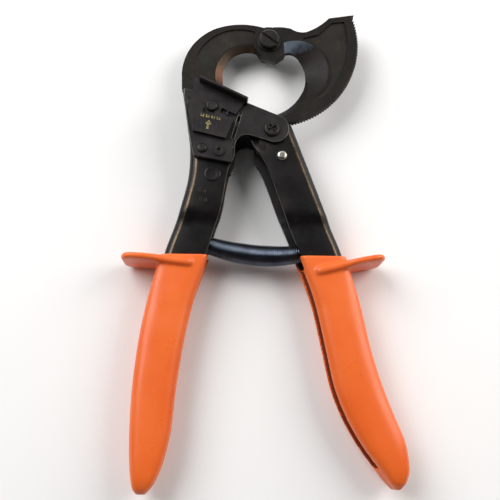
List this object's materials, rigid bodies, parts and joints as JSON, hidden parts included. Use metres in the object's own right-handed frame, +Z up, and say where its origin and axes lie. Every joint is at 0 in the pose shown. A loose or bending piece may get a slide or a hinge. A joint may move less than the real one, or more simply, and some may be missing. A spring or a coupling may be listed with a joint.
{
  "type": "cable cutter",
  "caption": "Ratchet cable cutter: hooked blades on a slotted pivot screw, a thumb release on the ratchet head, and sprung channel handles with dipped grips.",
  "frame": {"origin": "centre of the tool's footprint, on the surface it lies on", "axes": "+X right, +Y towards the jaws, +Z up, away from the surface it lies on"},
  "size_m": [0.1484, 0.2626, 0.0322],
  "materials": {
    "blade_steel": "oiled black oxide, ground bright along the cutting edges",
    "plate_steel": "black oxide with a brown cast, satin",
    "black_channel": "black enamel, semi-gloss, rubbed brown on the bends",
    "dark_fastener": "dark phosphate, satin",
    "bright_rivet": "bright zinc plate",
    "pawl_steel": "hardened, ground and oiled",
    "bronze_bush": "turned bronze",
    "spring_steel": "oil-tempered wire, blue-black and polished",
    "orange_vinyl": "dipped soft vinyl, satin"
  },
  "bodies": {
    "frame": {"fixed_blade": "blade_steel", "blade_pivot_screw": "dark_fastener", "blade_pivot_nut": "dark_fastener", "blade_pivot_washer": "dark_fastener", "fixed_handle": "black_channel", "fixed_handle_grip": "orange_vinyl", "fixed_spring_seat": "dark_fastener", "handle_return_spring": "spring_steel", "front_frame_plate": "plate_steel", "rear_frame_plate": "plate_steel", "front_tang_spacer": "plate_steel", "rear_tang_spacer": "plate_steel", "tang_rivet": "dark_fastener", "tang_eyelet": "dark_fastener", "handle_pivot_sleeve": "dark_fastener", "handle_pivot_screw": "dark_fastener", "handle_pivot_nut": "dark_fastener", "holding_pawl_pin": "dark_fastener", "holding_pawl_washer": "dark_fastener", "holding_pawl_spring": "spring_steel", "release_cover": "plate_steel", "release_spring": "spring_steel"},
    "jaw": {"moving_blade": "blade_steel", "blade_bush": "bronze_bush"},
    "lever": {"moving_handle": "black_channel", "moving_handle_grip": "orange_vinyl", "moving_spring_seat": "dark_fastener", "drive_pawl_pin": "bright_rivet", "drive_pawl_spacers": "dark_fastener", "pawl_spring_pin": "dark_fastener", "drive_pawl_spring": "spring_steel"},
    "drive_pawl": {"drive_pawl": "pawl_steel"},
    "holding_pawl": {"holding_pawl": "pawl_steel"},
    "release": {"release_slider": "plate_steel", "release_stud": "dark_fastener"}
  },
  "joints": [
    {"name": "jaw_hinge", "type": "hinge", "parent": "frame", "child": "jaw", "pos_m": [0.00345, 0.11365, 0.0132], "axis": [0, 0, -1], "range_deg": [-76, 100]},
    {"name": "handle_hinge", "type": "hinge", "parent": "frame", "child": "lever", "pos_m": [0.00455, 0.05825, 0.0132], "axis": [0, 0, -1], "range_deg": [0, 24], "stiffness_Nm_per_rad": 1.5, "springref_deg": -22.92, "deforming": ["handle_return_spring"]},
    {"name": "drive_pawl_hinge", "type": "hinge", "parent": "lever", "child": "drive_pawl", "pos_m": [0.01015, 0.04405, 0.0132], "axis": [0, 0, -1], "range_deg": [-17.1, 0]},
    {"name": "release_slide", "type": "slide", "parent": "frame", "child": "release", "axis": [-0.4305, -0.9026, 0], "range_m": [0, 0.003], "stiffness_N_per_m": 300, "springref_m": -0.004, "deforming": ["release_spring"]},
    {"name": "holding_pawl_hinge", "type": "hinge", "parent": "frame", "child": "holding_pawl", "pos_m": [-0.03555, 0.06515, 0.0132], "axis": [0, 0, -1], "range_deg": [0, 14], "deforming": ["holding_pawl_spring"]}
  ],
  "couplings": [
    {"joint": "drive_pawl_hinge", "follows": "handle_hinge", "ratio": -0.7},
    {"joint": "holding_pawl_hinge", "follows": "release_slide", "rad_per_m": 80}
  ]
}
